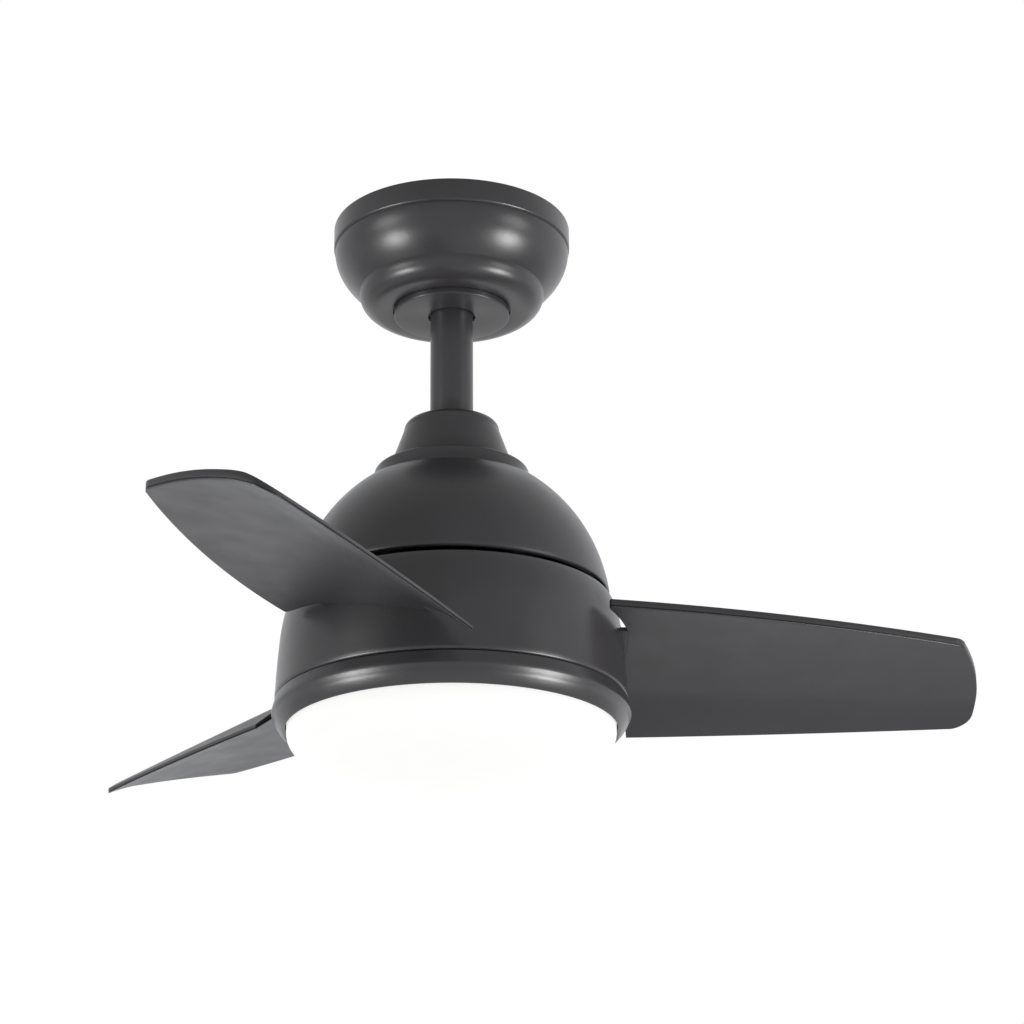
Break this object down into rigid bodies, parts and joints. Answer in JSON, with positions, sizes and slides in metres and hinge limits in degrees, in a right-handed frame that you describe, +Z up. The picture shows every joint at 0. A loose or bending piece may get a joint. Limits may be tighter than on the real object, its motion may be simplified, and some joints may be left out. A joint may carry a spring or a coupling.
{
  "type": "ceiling fan with light",
  "caption": "Ceiling fan on a short downrod: stepped canopy, domed motor housing, pitched blades moulded to a turning band, and a round opal light below.",
  "frame": {"origin": "centre of the hanger bracket's flat top face, in the ceiling plane", "axes": "+Z up into the ceiling along the downrod, +X out along the first blade, +Y towards the back"},
  "size_m": [0.5213, 0.5514, 0.3372],
  "materials": {
    "charcoal_paint": "satin charcoal metallic paint",
    "blade_plastic": "matte moulded charcoal",
    "opal_diffuser": "opal acrylic, lit from inside",
    "zinc_plated_steel": "zinc plated",
    "fastener_steel": "plated",
    "motor_steel": "bare electrical steel",
    "die_cast_aluminium": "as cast",
    "copper_winding": "enamelled copper wire",
    "ferrite_magnet": "sintered",
    "circuit_board": "solder mask",
    "led_board_white": "white solder mask on aluminium",
    "white_plastic": "moulded",
    "white_paint": "white paint",
    "black_nylon": "moulded nylon",
    "lead_insulation": "sleeved leads"
  },
  "bodies": {
    "mount": {"hanger_bracket": "zinc_plated_steel", "canopy": "charcoal_paint", "canopy_cover": "charcoal_paint", "canopy_screw_1": "fastener_steel", "canopy_screw_2": "fastener_steel", "receiver_box": "black_nylon", "terminal_block": "white_plastic"},
    "swivel": {"ball_seat_liner": "black_nylon"},
    "fan_frame": {"hanger_ball": "black_nylon", "ball_pin": "fastener_steel", "ball_set_screw": "fastener_steel", "downrod": "charcoal_paint", "motor_lead": "lead_insulation", "motor_coupling": "die_cast_aluminium", "clevis_pin": "fastener_steel", "clevis_clip": "fastener_steel", "coupling_set_screw": "fastener_steel", "coupling_cover": "charcoal_paint", "motor_dome": "charcoal_paint", "dome_nut": "fastener_steel", "motor_control_board": "circuit_board", "hollow_shaft": "fastener_steel", "upper_bearing_inner_race": "fastener_steel", "lower_bearing_inner_race": "fastener_steel", "stator_core": "motor_steel", "stator_windings": "copper_winding", "light_plate": "white_paint", "light_nut": "fastener_steel", "led_driver": "white_plastic", "trim_ring": "charcoal_paint", "trim_screw_1": "fastener_steel", "trim_screw_2": "fastener_steel", "trim_screw_3": "fastener_steel", "led_board": "led_board_white"},
    "rotor": {"upper_bearing_outer_race": "fastener_steel", "lower_bearing_outer_race": "fastener_steel", "upper_bearing_balls": "fastener_steel", "lower_bearing_balls": "fastener_steel", "rotor_top_cap": "die_cast_aluminium", "rotor_shell": "motor_steel", "magnet_ring": "ferrite_magnet", "rotor_bottom_cap": "die_cast_aluminium", "carrier_screw_1": "fastener_steel", "carrier_screw_2": "fastener_steel", "carrier_screw_3": "fastener_steel", "blade_carrier": "die_cast_aluminium", "lower_housing": "charcoal_paint", "housing_screw_1": "fastener_steel", "housing_screw_2": "fastener_steel", "housing_screw_3": "fastener_steel", "blade_1": "blade_plastic", "blade_2": "blade_plastic", "blade_3": "blade_plastic", "blade_1_screw_1": "fastener_steel", "blade_1_screw_2": "fastener_steel", "blade_2_screw_1": "fastener_steel", "blade_2_screw_2": "fastener_steel", "blade_3_screw_1": "fastener_steel", "blade_3_screw_2": "fastener_steel"},
    "light_cover": {"diffuser": "opal_diffuser"}
  },
  "joints": [
    {"name": "sway_front_back", "type": "hinge", "parent": "mount", "child": "swivel", "pos_m": [0, 0, -0.024], "axis": [1, 0, 0], "range_deg": [-1.4, 1.4]},
    {"name": "sway_side", "type": "hinge", "parent": "swivel", "child": "fan_frame", "pos_m": [0, 0, -0.024], "axis": [0, 1, 0], "range_deg": [-1.4, 1.4]},
    {"name": "blade_spin", "type": "hinge", "parent": "fan_frame", "child": "rotor", "pos_m": [0, 0, -0.195], "axis": [0, 0, 1], "continuous": true},
    {"name": "diffuser_twist", "type": "hinge", "parent": "fan_frame", "child": "light_cover", "pos_m": [0, 0, -0.306], "axis": [0, 0, 1], "range_deg": [0, 22]}
  ]
}
